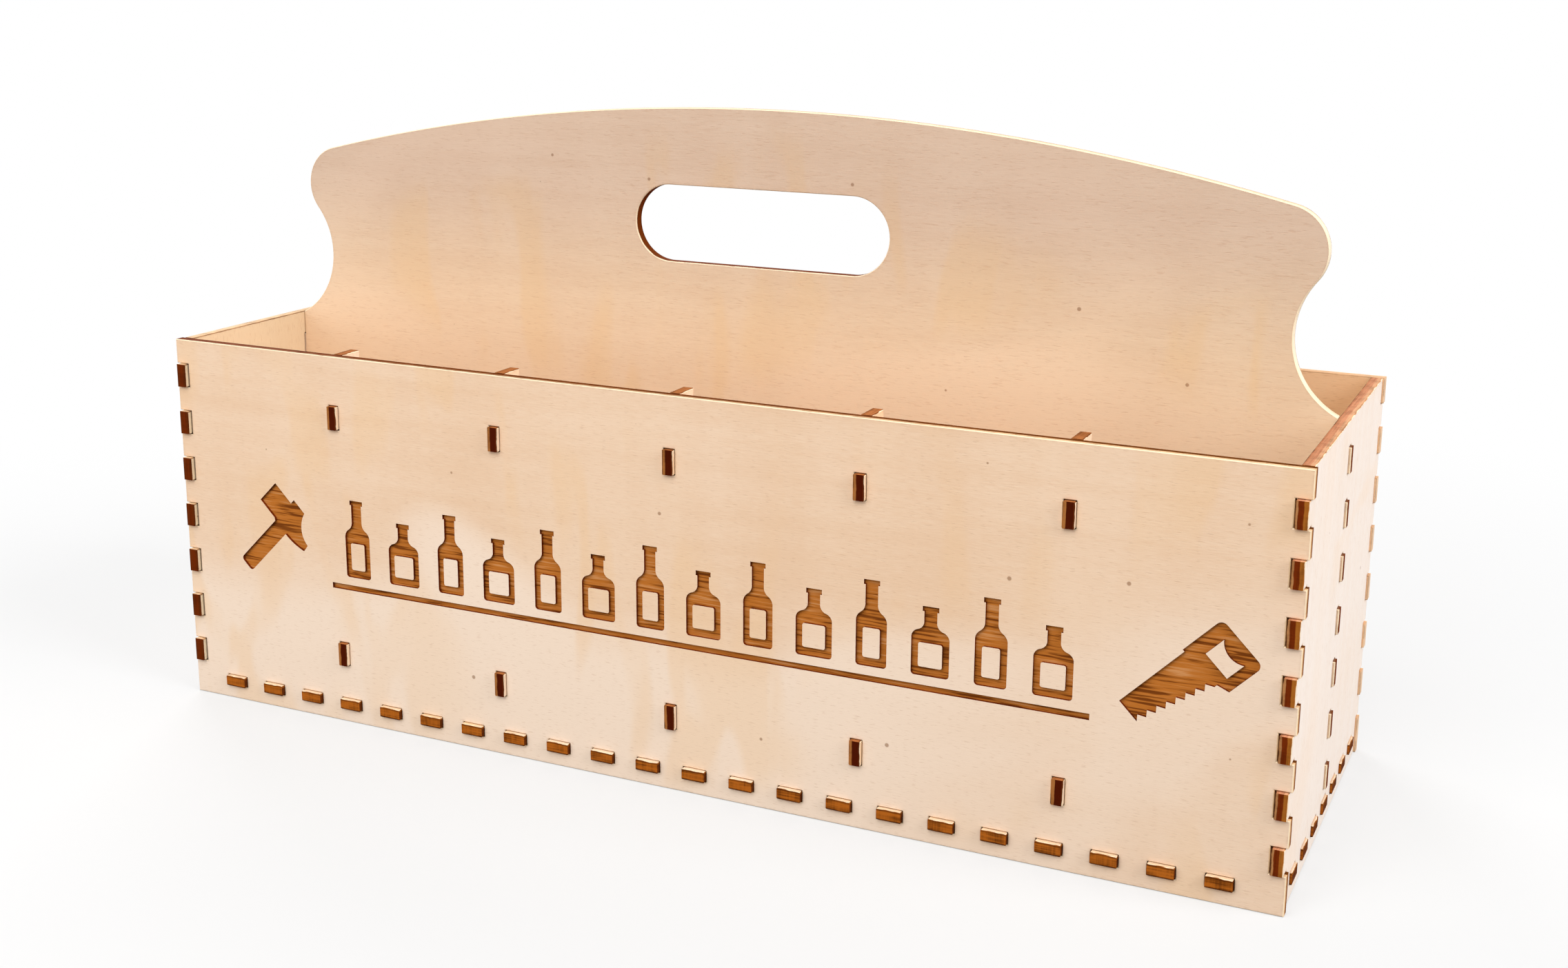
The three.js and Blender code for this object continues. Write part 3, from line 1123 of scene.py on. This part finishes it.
@dataclass(frozen=True)
class Handsaw:
    """Plain handsaw, drawn level from the upper corner of its tip, with its teeth down."""

    blade_length: float = 27 * MM
    tip_height: float = 8.2 * MM
    heel_height: float = 13.6 * MM
    teeth: int = 8
    tooth_depth: float = 1.9 * MM
    throat_top: float = 1 * MM
    throat_low: float = 2.5 * MM
    grip_end: float = 43 * MM
    grip_top: float = 0.8 * MM
    grip_low: float = -17.4 * MM
    grip_corner: float = 2.2 * MM
    hole_front: float = 31.8 * MM
    hole_low: Point = (38.6 * MM, -13.8 * MM)
    hole_top: Point = (39.2 * MM, -4.2 * MM)
    hole_bulge: float = 2.0 * MM

    def loops(self) -> tuple[Loop, Loop]:
        """The saw's outline and the hole in its grip.

        Returns:
            Both loops.
        """
        heel, corner = self.blade_length, self.grip_corner
        teeth: Loop = []
        for flank in range(2 * self.teeth + 1):
            share = flank / (2 * self.teeth)
            drop = self.tip_height + (self.heel_height - self.tip_height) * share
            teeth.append((heel * share, (self.tooth_depth if flank % 2 else 0.0) - drop))
        outline = [
            (0.0, 0.0),
            *teeth,
            (heel + self.throat_top, -self.heel_height),
            (heel + self.throat_low, self.grip_low),
            *arc((self.grip_end - corner, self.grip_low + corner), corner, -QUARTER_TURN, 0.0),
            *arc((self.grip_end - corner, self.grip_top - corner), corner, 0.0, QUARTER_TURN),
            (heel, self.grip_top),
            (heel, 0.0),
        ]
        hole = [
            (self.hole_front, self.hole_low[1]),
            *bowed(self.hole_low, self.hole_top, self.hole_bulge),
            (self.hole_front, self.hole_top[1]),
        ]
        return outline, hole


@dataclass(frozen=True)
class Bottle:
    """Plain bottle with a blank label, standing on the drawing's base line."""

    width: float
    shoulder: float
    neck_foot: float
    height: float
    shoulder_bow: float = 0.5 * MM
    neck_width: float = 4.4 * MM
    lip_width: float = 5.6 * MM
    lip_height: float = 1.7 * MM
    foot_corner: float = 1.2 * MM
    label_wall: float = 2.4 * MM
    label_foot: float = 3 * MM
    label_head: float = 1.8 * MM
    label_corner: float = 0.7 * MM

    def loop(self) -> Loop:
        """The bottle's outline.

        Returns:
            Its points.
        """
        half, neck, lip = self.width / 2, self.neck_width / 2, self.lip_width / 2
        corner = self.foot_corner
        lip_foot = self.height - self.lip_height
        turn = ((half + neck) / 2, (self.shoulder + self.neck_foot) / 2)
        right = [
            (0.0, 0.0),
            *arc((half - corner, corner), corner, -QUARTER_TURN, 0.0),
            *bowed((half, self.shoulder), turn, -self.shoulder_bow),
            *bowed(turn, (neck, self.neck_foot), self.shoulder_bow)[1:],
            (neck, lip_foot),
            (lip, lip_foot),
            (lip, self.height),
            (0.0, self.height),
        ]
        return mirrored(right)

    def label(self) -> Loop:
        """The blank label's outline.

        Returns:
            Its points.
        """
        half = self.width / 2 - self.label_wall
        low, high = self.label_foot, self.shoulder - self.label_head
        return rounded([(-half, low), (half, low), (half, high), (-half, high)], self.label_corner)


@dataclass(frozen=True)
class FrontEngraving:
    """What is engraved on the front: a frieze of bottles over a rule, a hammer and a handsaw."""

    pairs: int = 7
    frieze_left: float = -140 * MM
    frieze_right: float = 145 * MM
    base_line: float = 57.5 * MM
    rule_low: float = 52.3 * MM
    rule_height: float = 2.1 * MM
    rule_overhang: float = 2 * MM
    tall: Bottle = Bottle(10.8 * MM, 15 * MM, 21.5 * MM, 29.5 * MM)
    stout: Bottle = Bottle(13 * MM, 13 * MM, 18 * MM, 23.5 * MM)
    hammer: Hammer = Hammer()
    hammer_foot: Point = (-182.1 * MM, 55.7 * MM)
    hammer_turn: float = math.radians(-45.5)
    saw: Handsaw = Handsaw()
    saw_tip: Point = (156.1 * MM, 60.4 * MM)
    saw_turn: float = math.radians(44.8)
    depth: float = 1.0 * MM
    floor: Engraved = Engraved((124, 64, 20), (196, 117, 46), (216, 150, 92))
    wall: Engraved = Engraved((92, 30, 3), (112, 42, 6), (132, 58, 14))

    def inputs(self, lay: Lay) -> dict[str, Value]:
        """The engraving's values for the tree that cuts the board.

        Args:
            lay: How the board's plies run.

        Returns:
            The values, by the names of the tree's inputs.
        """
        return {
            "Engraving Depth": self.depth,
            Skin.ENGRAVED_FLOOR.name: self.floor.material("engraved_floor", lay),
            Skin.ENGRAVED_WALL.name: self.wall.material("engraved_wall", lay),
        }

    def draw(self, layout: Layout) -> None:
        """Adds the engraved loops to the front board's layout.

        Args:
            layout: The layout that takes them.
        """
        pitch = (self.frieze_right - self.frieze_left) / self.pairs
        for bottle, side in ((self.tall, -1), (self.stout, 1)):
            at = (side * pitch / 4, 0.0)
            layout.add_loop(set_out(bottle.loop(), at), Role.MOTIF, hole=True)
            layout.add_loop(set_out(bottle.label(), at), Role.MOTIF)
        middles = [self.frieze_left + pitch * (index + 0.5) for index in range(self.pairs)]
        layout.add_places([(x, self.base_line) for x in middles], Role.MOTIF_PLACE)
        low, high = self.rule_low, self.rule_low + self.rule_height
        left, right = self.frieze_left - self.rule_overhang, self.frieze_right + self.rule_overhang
        rule = [(left, low), (right, low), (right, high), (left, high)]
        hammer = set_out(self.hammer.loop(), self.hammer_foot, self.hammer_turn)
        saw, grip_hole = (set_out(loop, self.saw_tip, self.saw_turn) for loop in self.saw.loops())
        for figure in (rule, hammer, saw):
            layout.add_loop(figure, Role.FIGURE, hole=True)
        layout.add_loop(grip_hole, Role.FIGURE)


@dataclass
class Board:
    """One board of the carrier, and the CAD node that it stands for."""

    node: str
    joinery: Joinery
    stock: BoardStock

    def outline(self) -> Loop:
        """The board's outer edge."""
        raise NotImplementedError

    def placing(self) -> Matrix:
        """From the flat drawing to the board's place."""
        raise NotImplementedError

    def burn_and_shade(self, x: float) -> bool:
        """Tells whether the outer edge is painted dark at a point, from its first coordinate; some boards
        mean charring by it, the front painted shade.
        """
        return False

    def layout(self) -> Layout:
        """The board's flat drawing.

        Returns:
            The drawing, with the outer edge.
        """
        layout = Layout()
        layout.add_loop(self.outline(), Role.OUTLINE, burn_and_shade=self.burn_and_shade)
        return layout

    def inputs(self) -> dict[str, Value]:
        """Values for the tree that cuts the board."""
        return {"Thickness": self.joinery.ply, **self.stock.inputs}

    def standing(self, at: Triple, quarter_turns: int) -> Matrix:
        """Stands a drawing up, facing -Y, turns it about +Z and moves its origin to a place."""
        turn = Matrix.Rotation(quarter_turns * QUARTER_TURN, 4, "Z")
        return Matrix.Translation(Vector(at)) @ turn @ Matrix.Rotation(QUARTER_TURN, 4, "X")

    def build(self, tree: BoardTree) -> bpy.types.Object:
        """Cuts the board and puts it in its place.

        Args:
            tree: The tree that cuts it.

        Returns:
            The finished piece.
        """
        piece = tree.cut(self.layout(), f"{self.node}_board", self.inputs())
        piece.data.transform(self.placing())
        piece.data.shade_smooth()
        piece.data.set_sharp_from_angle(angle=CREASE)
        return piece

    def dress(self, piece: bpy.types.Object) -> None:
        """Ties the piece to the frame.

        Args:
            piece: The finished piece.
        """
        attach(piece, "root")
        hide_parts(self.node)


@dataclass
class WallBoard(Board):
    """Outer wall, stepped at both upright edges."""

    quarter_turns: int = 0

    def wall(self, stretches: Iterable[Stretch], edge: float, tip: float) -> Loop:
        """The wall's outline, stepped from edge to tip over each stretch."""
        return mirrored([(edge, 0.0), *stepped_up(stretches, edge, tip), (edge, self.joinery.wall_height)])

    def add_slots(
        self, layout: Layout, half_edge: float, columns: Sequence[float], rows: Sequence[Stretch]
    ) -> None:
        """Adds the slots of the tabs that pass through the wall.

        Args:
            layout: The layout that takes them.
            half_edge: Half the length of the base's edge at this wall.
            columns: Where upright boards meet the wall.
            rows: Heights of their tabs.
        """
        fits = self.joinery
        base_tabs = [(sum(s) / 2, fits.base_low + fits.ply / 2) for s in fits.even_stretches(half_edge)]
        layout.add_places(base_tabs, Role.SLOT, (fits.finger, fits.slot_width))
        upright_tabs = [(x, sum(s) / 2) for x in columns for s in rows]
        layout.add_places(upright_tabs, Role.SLOT, (fits.slot_width, fits.finger))


@dataclass
class SideBoard(WallBoard):
    """Front or back wall: notched corners, slots for the base's tabs and for the dividers'."""

    divider_places: Sequence[float] = ()
    engraving: FrontEngraving | None = None
    shaded_left_edge: bool = False  # painted shade: the cut edge is painted dark at the left end, paler towards the right

    def outline(self) -> Loop:
        """The wall's outer edge."""
        fits = self.joinery
        return self.wall(fits.corner_stretches(), fits.end_tip, fits.end_face - fits.corner_play)

    def burn_and_shade(self, x: float) -> bool:
        """Tells whether the outer edge is painted dark at a point: painted shade on the left half, where
        the board says so.
        """
        return self.shaded_left_edge and x < 0

    def layout(self) -> Layout:
        """The wall's flat drawing.

        Returns:
            The drawing, with slots and engraving.
        """
        layout = super().layout()
        fits = self.joinery
        self.add_slots(layout, fits.end_face, self.divider_places, fits.divider_stretches())
        if self.engraving:
            self.engraving.draw(layout)
        return layout

    def inputs(self) -> dict[str, Value]:
        """Values for the tree that cuts the wall, with its engraving's."""
        return super().inputs() | (self.engraving.inputs(self.stock.lay) if self.engraving else {})

    def placing(self) -> Matrix:
        """Stands the wall with its inner face on the frame's."""
        side = self.joinery.side_face if self.quarter_turns else -self.joinery.side_face
        return self.standing((0.0, side, 0.0), self.quarter_turns)


@dataclass
class EndBoard(WallBoard):
    """End wall: fingers at both corners, slots for the base's tabs and the handle board's."""

    def outline(self) -> Loop:
        """The wall's outer edge."""
        fits = self.joinery
        return self.wall(fits.loosened(fits.corner_stretches()), fits.side_face - fits.play, fits.side_tip)

    def layout(self) -> Layout:
        """The wall's flat drawing.

        Returns:
            The drawing, with slots.
        """
        layout = super().layout()
        self.add_slots(layout, self.joinery.side_face, (0.0,), self.joinery.corner_stretches())
        return layout

    def placing(self) -> Matrix:
        """Stands the wall with its inner face on the frame's."""
        return self.standing((self.quarter_turns * self.joinery.end_face, 0.0, 0.0), self.quarter_turns)


@dataclass
class BaseBoard(Board):
    """Floor of the cells, with tabs through all four walls."""

    def outline(self) -> Loop:
        """The floor's outer edge.

        Returns:
            Its points, from the front left corner.
        """
        fits = self.joinery
        end, side = fits.end_face - fits.play, fits.side_face - fits.play
        side_tabs = fits.loosened(fits.even_stretches(fits.end_face))
        end_tabs = fits.loosened(fits.even_stretches(fits.side_face))
        return [
            (-end, -side),
            *stepped(side_tabs, -side, -fits.side_tip),
            (end, -side),
            *stepped_up(end_tabs, end, fits.end_tip),
            (end, side),
            *reversed(stepped(side_tabs, side, fits.side_tip)),
            (-end, side),
            *reversed(stepped_up(end_tabs, -end, -fits.end_tip)),
        ]

    def placing(self) -> Matrix:
        """Lifts the floor to its height."""
        return Matrix.Translation((0.0, 0.0, self.joinery.base_low))


@dataclass
class HandleBoard(Board):
    """Lengthwise middle wall that rises into the handle, with a hand hole."""

    divider_places: Sequence[float] = ()
    lap_height: float = 52.1 * MM
    shoulder_inset: float = 6.5 * MM
    shoulder_radius: float = 15 * MM
    neck_inset: float = 16 * MM
    neck_radius: float = 28 * MM
    grip_length: float = 100 * MM
    grip_height: float = 28 * MM
    grip_below_top: float = 42.3 * MM

    def crown(self, edge: float) -> Loop:
        """Neck, shoulder and crown: three arcs that run into each other.

        Args:
            edge: Distance of the wall's upright edge from the middle.

        Returns:
            The right half, from the wall's top to the middle of the crown.
        """
        fits = self.joinery
        neck = Vector((fits.end_face - self.neck_inset + self.neck_radius, 0.0))
        neck.y = fits.wall_height + math.sqrt(self.neck_radius**2 - (neck.x - edge) ** 2)
        shoulder = Vector((fits.end_face - self.shoulder_inset - self.shoulder_radius, 0.0))
        reach = self.neck_radius + self.shoulder_radius
        shoulder.y = neck.y + math.sqrt(reach**2 - (neck.x - shoulder.x) ** 2)
        rise = fits.crest - shoulder.y
        radius = (shoulder.x**2 + rise**2 - self.shoulder_radius**2) / (2 * (rise - self.shoulder_radius))
        middle = fits.crest - radius
        neck_start = math.atan2(fits.wall_height - neck.y, edge - neck.x) + 2 * math.pi
        neck_end = math.atan2(shoulder.y - neck.y, shoulder.x - neck.x)
        crown_start = math.atan2(shoulder.y - middle, shoulder.x)
        return [
            *arc(tuple(neck), self.neck_radius, neck_start, neck_end),
            *arc(tuple(shoulder), self.shoulder_radius, neck_end - math.pi, crown_start)[1:],
            *arc((0.0, middle), radius, crown_start, QUARTER_TURN)[1:-1],
            (0.0, fits.crest),
        ]

    def grip(self) -> Loop:
        """The hand hole, with round ends.

        Returns:
            Its points.
        """
        radius = self.grip_height / 2
        reach = self.grip_length / 2 - radius
        height = self.joinery.crest - self.grip_below_top
        right = arc((reach, height), radius, -QUARTER_TURN, QUARTER_TURN)
        return right + arc((-reach, height), radius, QUARTER_TURN, 3 * QUARTER_TURN)

    def outline(self) -> Loop:
        """The wall's outer edge.

        Returns:
            Its points, from the first lap.
        """
        fits = self.joinery
        edge, bottom = fits.end_face - fits.play, fits.base_top + fits.play
        half = fits.slot_width / 2
        laps = [(x - half, x + half) for x in self.divider_places]
        tabs = stepped_up(fits.loosened(fits.corner_stretches()), edge, fits.end_tip)
        right = [(edge, bottom), *tabs, *self.crown(edge)]
        return stepped(laps, bottom, self.lap_height + fits.play) + mirrored(right)

    def burn_and_shade(self, x: float) -> bool:
        """Tells whether the outer edge is painted dark at a point: the tabs are, as charring."""
        return abs(x) > self.joinery.end_face

    def layout(self) -> Layout:
        """The wall's flat drawing.

        Returns:
            The drawing, with the hand hole.
        """
        layout = super().layout()
        layout.add_loop(self.grip(), Role.OUTLINE, hole=True)
        return layout

    def placing(self) -> Matrix:
        """Stands the wall on the middle plane."""
        return self.standing((0.0, self.joinery.ply / 2, 0.0), 0)


@dataclass
class DividerBoard(Board):
    """Cross wall between two columns of cells: tabs through both walls, ears, and a recess between them."""

    place: float = 0.0
    lap_height: float = 52.1 * MM
    ear_width: float = 10 * MM
    recess_depth: float = 45 * MM
    recess_radius: float = 20 * MM

    def outline(self) -> Loop:
        """The divider's outer edge.

        Returns:
            Its points, from the bottom of the right half.
        """
        fits = self.joinery
        edge, ear = fits.side_face - fits.play, fits.side_face - self.ear_width
        floor, radius = fits.wall_height - self.recess_depth, self.recess_radius
        half = fits.slot_width / 2
        right = [
            (edge, fits.base_top + fits.play),
            *stepped_up(fits.loosened(fits.divider_stretches()), edge, fits.side_tip),
            (edge, fits.wall_height),
            (ear, fits.wall_height),
            *arc((ear - radius, floor + radius), radius, 0.0, -QUARTER_TURN),
            (half, floor),
            (half, self.lap_height - fits.play),
        ]
        return mirrored(right)

    def placing(self) -> Matrix:
        """Stands the divider across the length, facing +X."""
        return self.standing((self.place - self.joinery.ply / 2, 0.0, 0.0), 1)


@dataclass(frozen=True)
class Lamp:
    """Soft square lamp that looks at the carrier."""

    name: str
    place: Triple
    power: float
    size: float = 1.2

    def light(self, aim: Vector) -> None:
        """Hangs the lamp.

        Args:
            aim: Point that it looks at.
        """
        data = bpy.data.lights.new(self.name, "AREA")
        data.size = self.size
        data.energy = self.power
        lamp = add_object(self.name, data)
        lamp.location = self.place
        lamp.rotation_euler = (aim - lamp.location).to_track_quat("-Z", "Y").to_euler()


@dataclass(frozen=True)
class Studio:
    """White room: floor, soft lamps and the photograph's camera."""

    photo_width: int = 2274
    photo_height: int = 1404
    focal_pixels: float = 2743.95
    middle_x: float = 1167.7
    middle_y: float = 586.0
    sensor: float = 36.0
    camera_place: Triple = (0.29319, -0.60462, 0.28008)
    camera_way: Triple = (-0.40368, 0.88598, -0.2282)
    camera_roll: float = math.radians(0.525)
    floor_half: float = 4.0
    floor_drop: float = 0.1 * MM
    floor_fade: Stretch = (0.3, 0.62)
    floor_share: float = 0.55
    floor_grey: float = 0.68
    bounce_grey: float = 0.15
    ambient: float = 0.4
    aim: Triple = (0.0, 0.0, 0.1)
    lamps: tuple[Lamp, ...] = (
        Lamp("front_lamp", (0.05, -1.15, 1.45), 17.0),
        Lamp("left_lamp", (-1.0, -1.3, 0.55), 9.0),
        Lamp("right_lamp", (1.75, -0.2, 1.1), 31.0),
        Lamp("back_lamp", (-1.1, 1.2, 0.7), 24.0),
    )

    def build(self) -> None:
        """Sets up the floor, the light and the camera."""
        self._floor()
        self._world()
        for lamp in self.lamps:
            lamp.light(Vector(self.aim))
        self._camera()
        bpy.context.scene.view_settings.view_transform = "Standard"

    @staticmethod
    def _seen_directly(book: NodeBook) -> Socket:
        """Tells the rays that show a surface, in the picture or in a reflection, from those that light.

        Args:
            book: The tree that takes the nodes.

        Returns:
            1 for rays that show the surface, 0 for the others.
        """
        path = book.add("ShaderNodeLightPath").outputs
        seen = book.number("MAXIMUM", path["Is Camera Ray"], path["Is Glossy Ray"])
        return book.number("MAXIMUM", seen, path["Is Transmission Ray"])

    def _floor(self) -> None:
        """Lays a pale floor that turns into the white of the room away from the carrier."""
        half, low = self.floor_half, -self.floor_drop
        mesh = bpy.data.meshes.new("floor")
        corners = [(-half, -half, low), (half, -half, low), (half, half, low), (-half, half, low)]
        mesh.from_pydata(corners, [], [(0, 1, 2, 3)])
        book = ShaderBook("floor_paint")
        seen = self._seen_directly(book)
        distance = book.vector("LENGTH", book.place, at="Value")
        fade = book.product(book.span(distance, *self.floor_fade, self.floor_share, 1.0), seen)
        grey = book.span(seen, 0.0, 1.0, self.bounce_grey, self.floor_grey)
        paint = book.out("ShaderNodeBsdfDiffuse", {"Color": grey})
        white = book.out("ShaderNodeEmission", {"Color": WHITE, "Strength": 1.0})
        shown = book.out("ShaderNodeMixShader", {0: fade, 1: paint, 2: white})
        book.add("ShaderNodeOutputMaterial", {"Surface": shown})
        mesh.materials.append(book.material)
        add_object("floor", mesh)

    def _world(self) -> None:
        """Lights the room evenly and shows it white."""
        world = bpy.data.worlds.new("room")
        world.use_nodes = True
        world.node_tree.nodes.clear()
        book = NodeBook(world.node_tree)
        light = book.out("ShaderNodeBackground", {"Color": WHITE, "Strength": self.ambient})
        shown = book.out("ShaderNodeBackground", {"Color": WHITE, "Strength": 1.0})
        mixed = book.out("ShaderNodeMixShader", {0: self._seen_directly(book), 1: light, 2: shown})
        book.add("ShaderNodeOutputWorld", {"Surface": mixed})
        bpy.context.scene.world = world

    def _camera(self) -> None:
        """Places the camera as the photograph was taken."""
        data = bpy.data.cameras.new("camera")
        data.sensor_width = self.sensor
        data.lens = self.sensor * self.focal_pixels / self.photo_width
        data.shift_x = (self.photo_width / 2 - self.middle_x) / self.photo_width
        data.shift_y = (self.middle_y - self.photo_height / 2) / self.photo_width
        camera = add_object("camera", data)
        camera.location = self.camera_place
        level = Vector(self.camera_way).to_track_quat("-Z", "Y")
        camera.rotation_euler = (level @ Quaternion(UP, self.camera_roll)).to_euler()
        bpy.context.scene.camera = camera


SIDE_VENEER = Veneer(
    (249, 217, 186),
    (242, 205, 170),
    bloom_and_bounce_light=(255, 231, 208),
    # Painted shade on the inner face.
    inner_shade_tint=(1.0, 0.9, 0.75),
    # Painted bounce light on the lower part, fading towards the right end.
    low_bounce_light=0.95,
    low_right=0.3,
    stain_strength=0.34,
)
END_VENEER = Veneer(
    (250, 236, 225),
    (247, 230, 216),
    # Painted shade on the inner face.
    inner_shade_tint=(0.85, 0.81, 0.65),
    stain_strength=0.15,
    smoke_strength=0.5,
    shift=(2.0, 5.0, 1.0),
)
HANDLE_VENEER = Veneer(
    (236, 208, 175),
    (230, 199, 165),
    bloom_and_bounce_light=(241, 212, 179),
    stain=(234, 198, 150),
    # Painted shade towards the top.
    high_shade_tint=(0.85, 0.83, 0.9),
    # Painted bounce light on the lower part.
    low_bounce_light=0.5,
    low_span=(160 * MM, 130 * MM),
    shift=(7.0, 3.0, 4.0),
)
BASE_VENEER = Veneer((245, 211, 177), (241, 203, 166), shift=(1.0, 8.0, 6.0))
DIVIDER_VENEER = Veneer((251, 224, 195), (247, 216, 184), shift=(5.0, 2.0, 9.0))

# The dark core and leaving ply are darker in part as painted shade: the dark line behind the top edge.
FRONT_EDGE = CutEdge(
    entry=((240, 198, 150), (236, 190, 142)),
    core=((150, 90, 40), (108, 58, 16)),
    leave=((116, 62, 20), (98, 48, 14)),
    entry_share=0.42,
)
BACK_EDGE = CutEdge(
    entry=((240, 198, 150), (236, 190, 142)),
    core=((238, 204, 172), (226, 182, 144)),
    leave=((226, 180, 136), (238, 204, 172)),
    streak_strength=0.15,
    lip_strength=0.35,
)
END_EDGE = CutEdge(
    entry=((172, 102, 36), (218, 164, 124)),
    core=((202, 138, 102), (118, 44, 8)),
    leave=((190, 132, 82), (190, 126, 90)),
    arris_share=0.04,
    entry_share=0.36,
    core_share=0.78,
)
LEFT_END_EDGE = replace(
    END_EDGE,
    entry=((108, 44, 8), (236, 204, 168)),
    core=((232, 196, 156), (112, 42, 6)),
    leave=((100, 42, 8), (222, 180, 136)),
    lip_strength=0.35,
)
HANDLE_EDGE = CutEdge(
    entry=((250, 224, 190), (255, 238, 212)),
    core=((255, 236, 208), (238, 202, 162)),
    leave=((150, 92, 48), (150, 92, 48)),
    entry_share=0.5,
    core_share=0.86,
    streak_strength=0.2,
)
BASE_EDGE = CutEdge(
    entry=((150, 84, 28), (132, 68, 16)),
    core=((186, 102, 30), (104, 50, 16)),
    leave=((110, 56, 16), (112, 56, 14)),
    arris_share=0.03,
    entry_share=0.16,
    core_share=0.86,
    streak_strength=0.75,
)
DIVIDER_EDGE = CutEdge(
    entry=((98, 44, 12), (158, 96, 52)),
    core=((176, 108, 60), (80, 22, 3)),
    leave=((176, 112, 58), (156, 96, 54)),
    arris_share=0.03,
    entry_share=0.12,
    core_share=0.7,
)

FRONT_STOCK = BoardStock("front", "side_plywood", Lay.LENGTHWISE, SIDE_VENEER, FRONT_EDGE)
BACK_STOCK = BoardStock("back", "side_plywood", Lay.LENGTHWISE, SIDE_VENEER, BACK_EDGE)
END_STOCK = BoardStock("end", "end_plywood", Lay.UPRIGHT, END_VENEER, END_EDGE, scorch_reach=0.7 * MM)
LEFT_END_STOCK = replace(END_STOCK, name="left_end", edge=LEFT_END_EDGE)
HANDLE_STOCK = BoardStock("handle", "handle_plywood", Lay.LENGTHWISE, HANDLE_VENEER, HANDLE_EDGE)
BASE_STOCK = BoardStock("base", "inner_plywood", Lay.CROSSWISE, BASE_VENEER, BASE_EDGE)
DIVIDER_STOCK = BoardStock("divider", "inner_plywood", Lay.UPRIGHT, DIVIDER_VENEER, DIVIDER_EDGE)


def carrier_boards(joinery: Joinery) -> list[Board]:
    """Lists the boards of the carrier.

    Args:
        joinery: Sizes that they share.

    Returns:
        The eleven boards.
    """
    dividers = sorted(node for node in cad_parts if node.startswith("divider"))
    places = [sum(corner.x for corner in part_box(node)) / 2 for node in dividers]
    return [
        # The front's left edge is painted dark as shade.
        SideBoard("front_panel", joinery, FRONT_STOCK, 0, places, FrontEngraving(), shaded_left_edge=True),
        SideBoard("back_panel", joinery, BACK_STOCK, 2, places),
        EndBoard("left_end_panel", joinery, LEFT_END_STOCK, -1),
        EndBoard("right_end_panel", joinery, END_STOCK, 1),
        BaseBoard("base_panel", joinery, BASE_STOCK),
        HandleBoard("handle_panel", joinery, HANDLE_STOCK, places),
        *(DividerBoard(node, joinery, DIVIDER_STOCK, x) for node, x in zip(dividers, places)),
    ]


def main() -> None:
    """Builds the studio and the carrier."""
    logging.basicConfig(level=logging.INFO, format="%(name)s: %(message)s")
    Studio().build()
    tree = BoardTree()
    for board in carrier_boards(Joinery.from_frame()):
        piece = board.build(tree)
        board.dress(piece)
        log.info("%s stands for %s, %d faces", piece.name, board.node, len(piece.data.polygons))


if __name__ == "__main__":
    main()
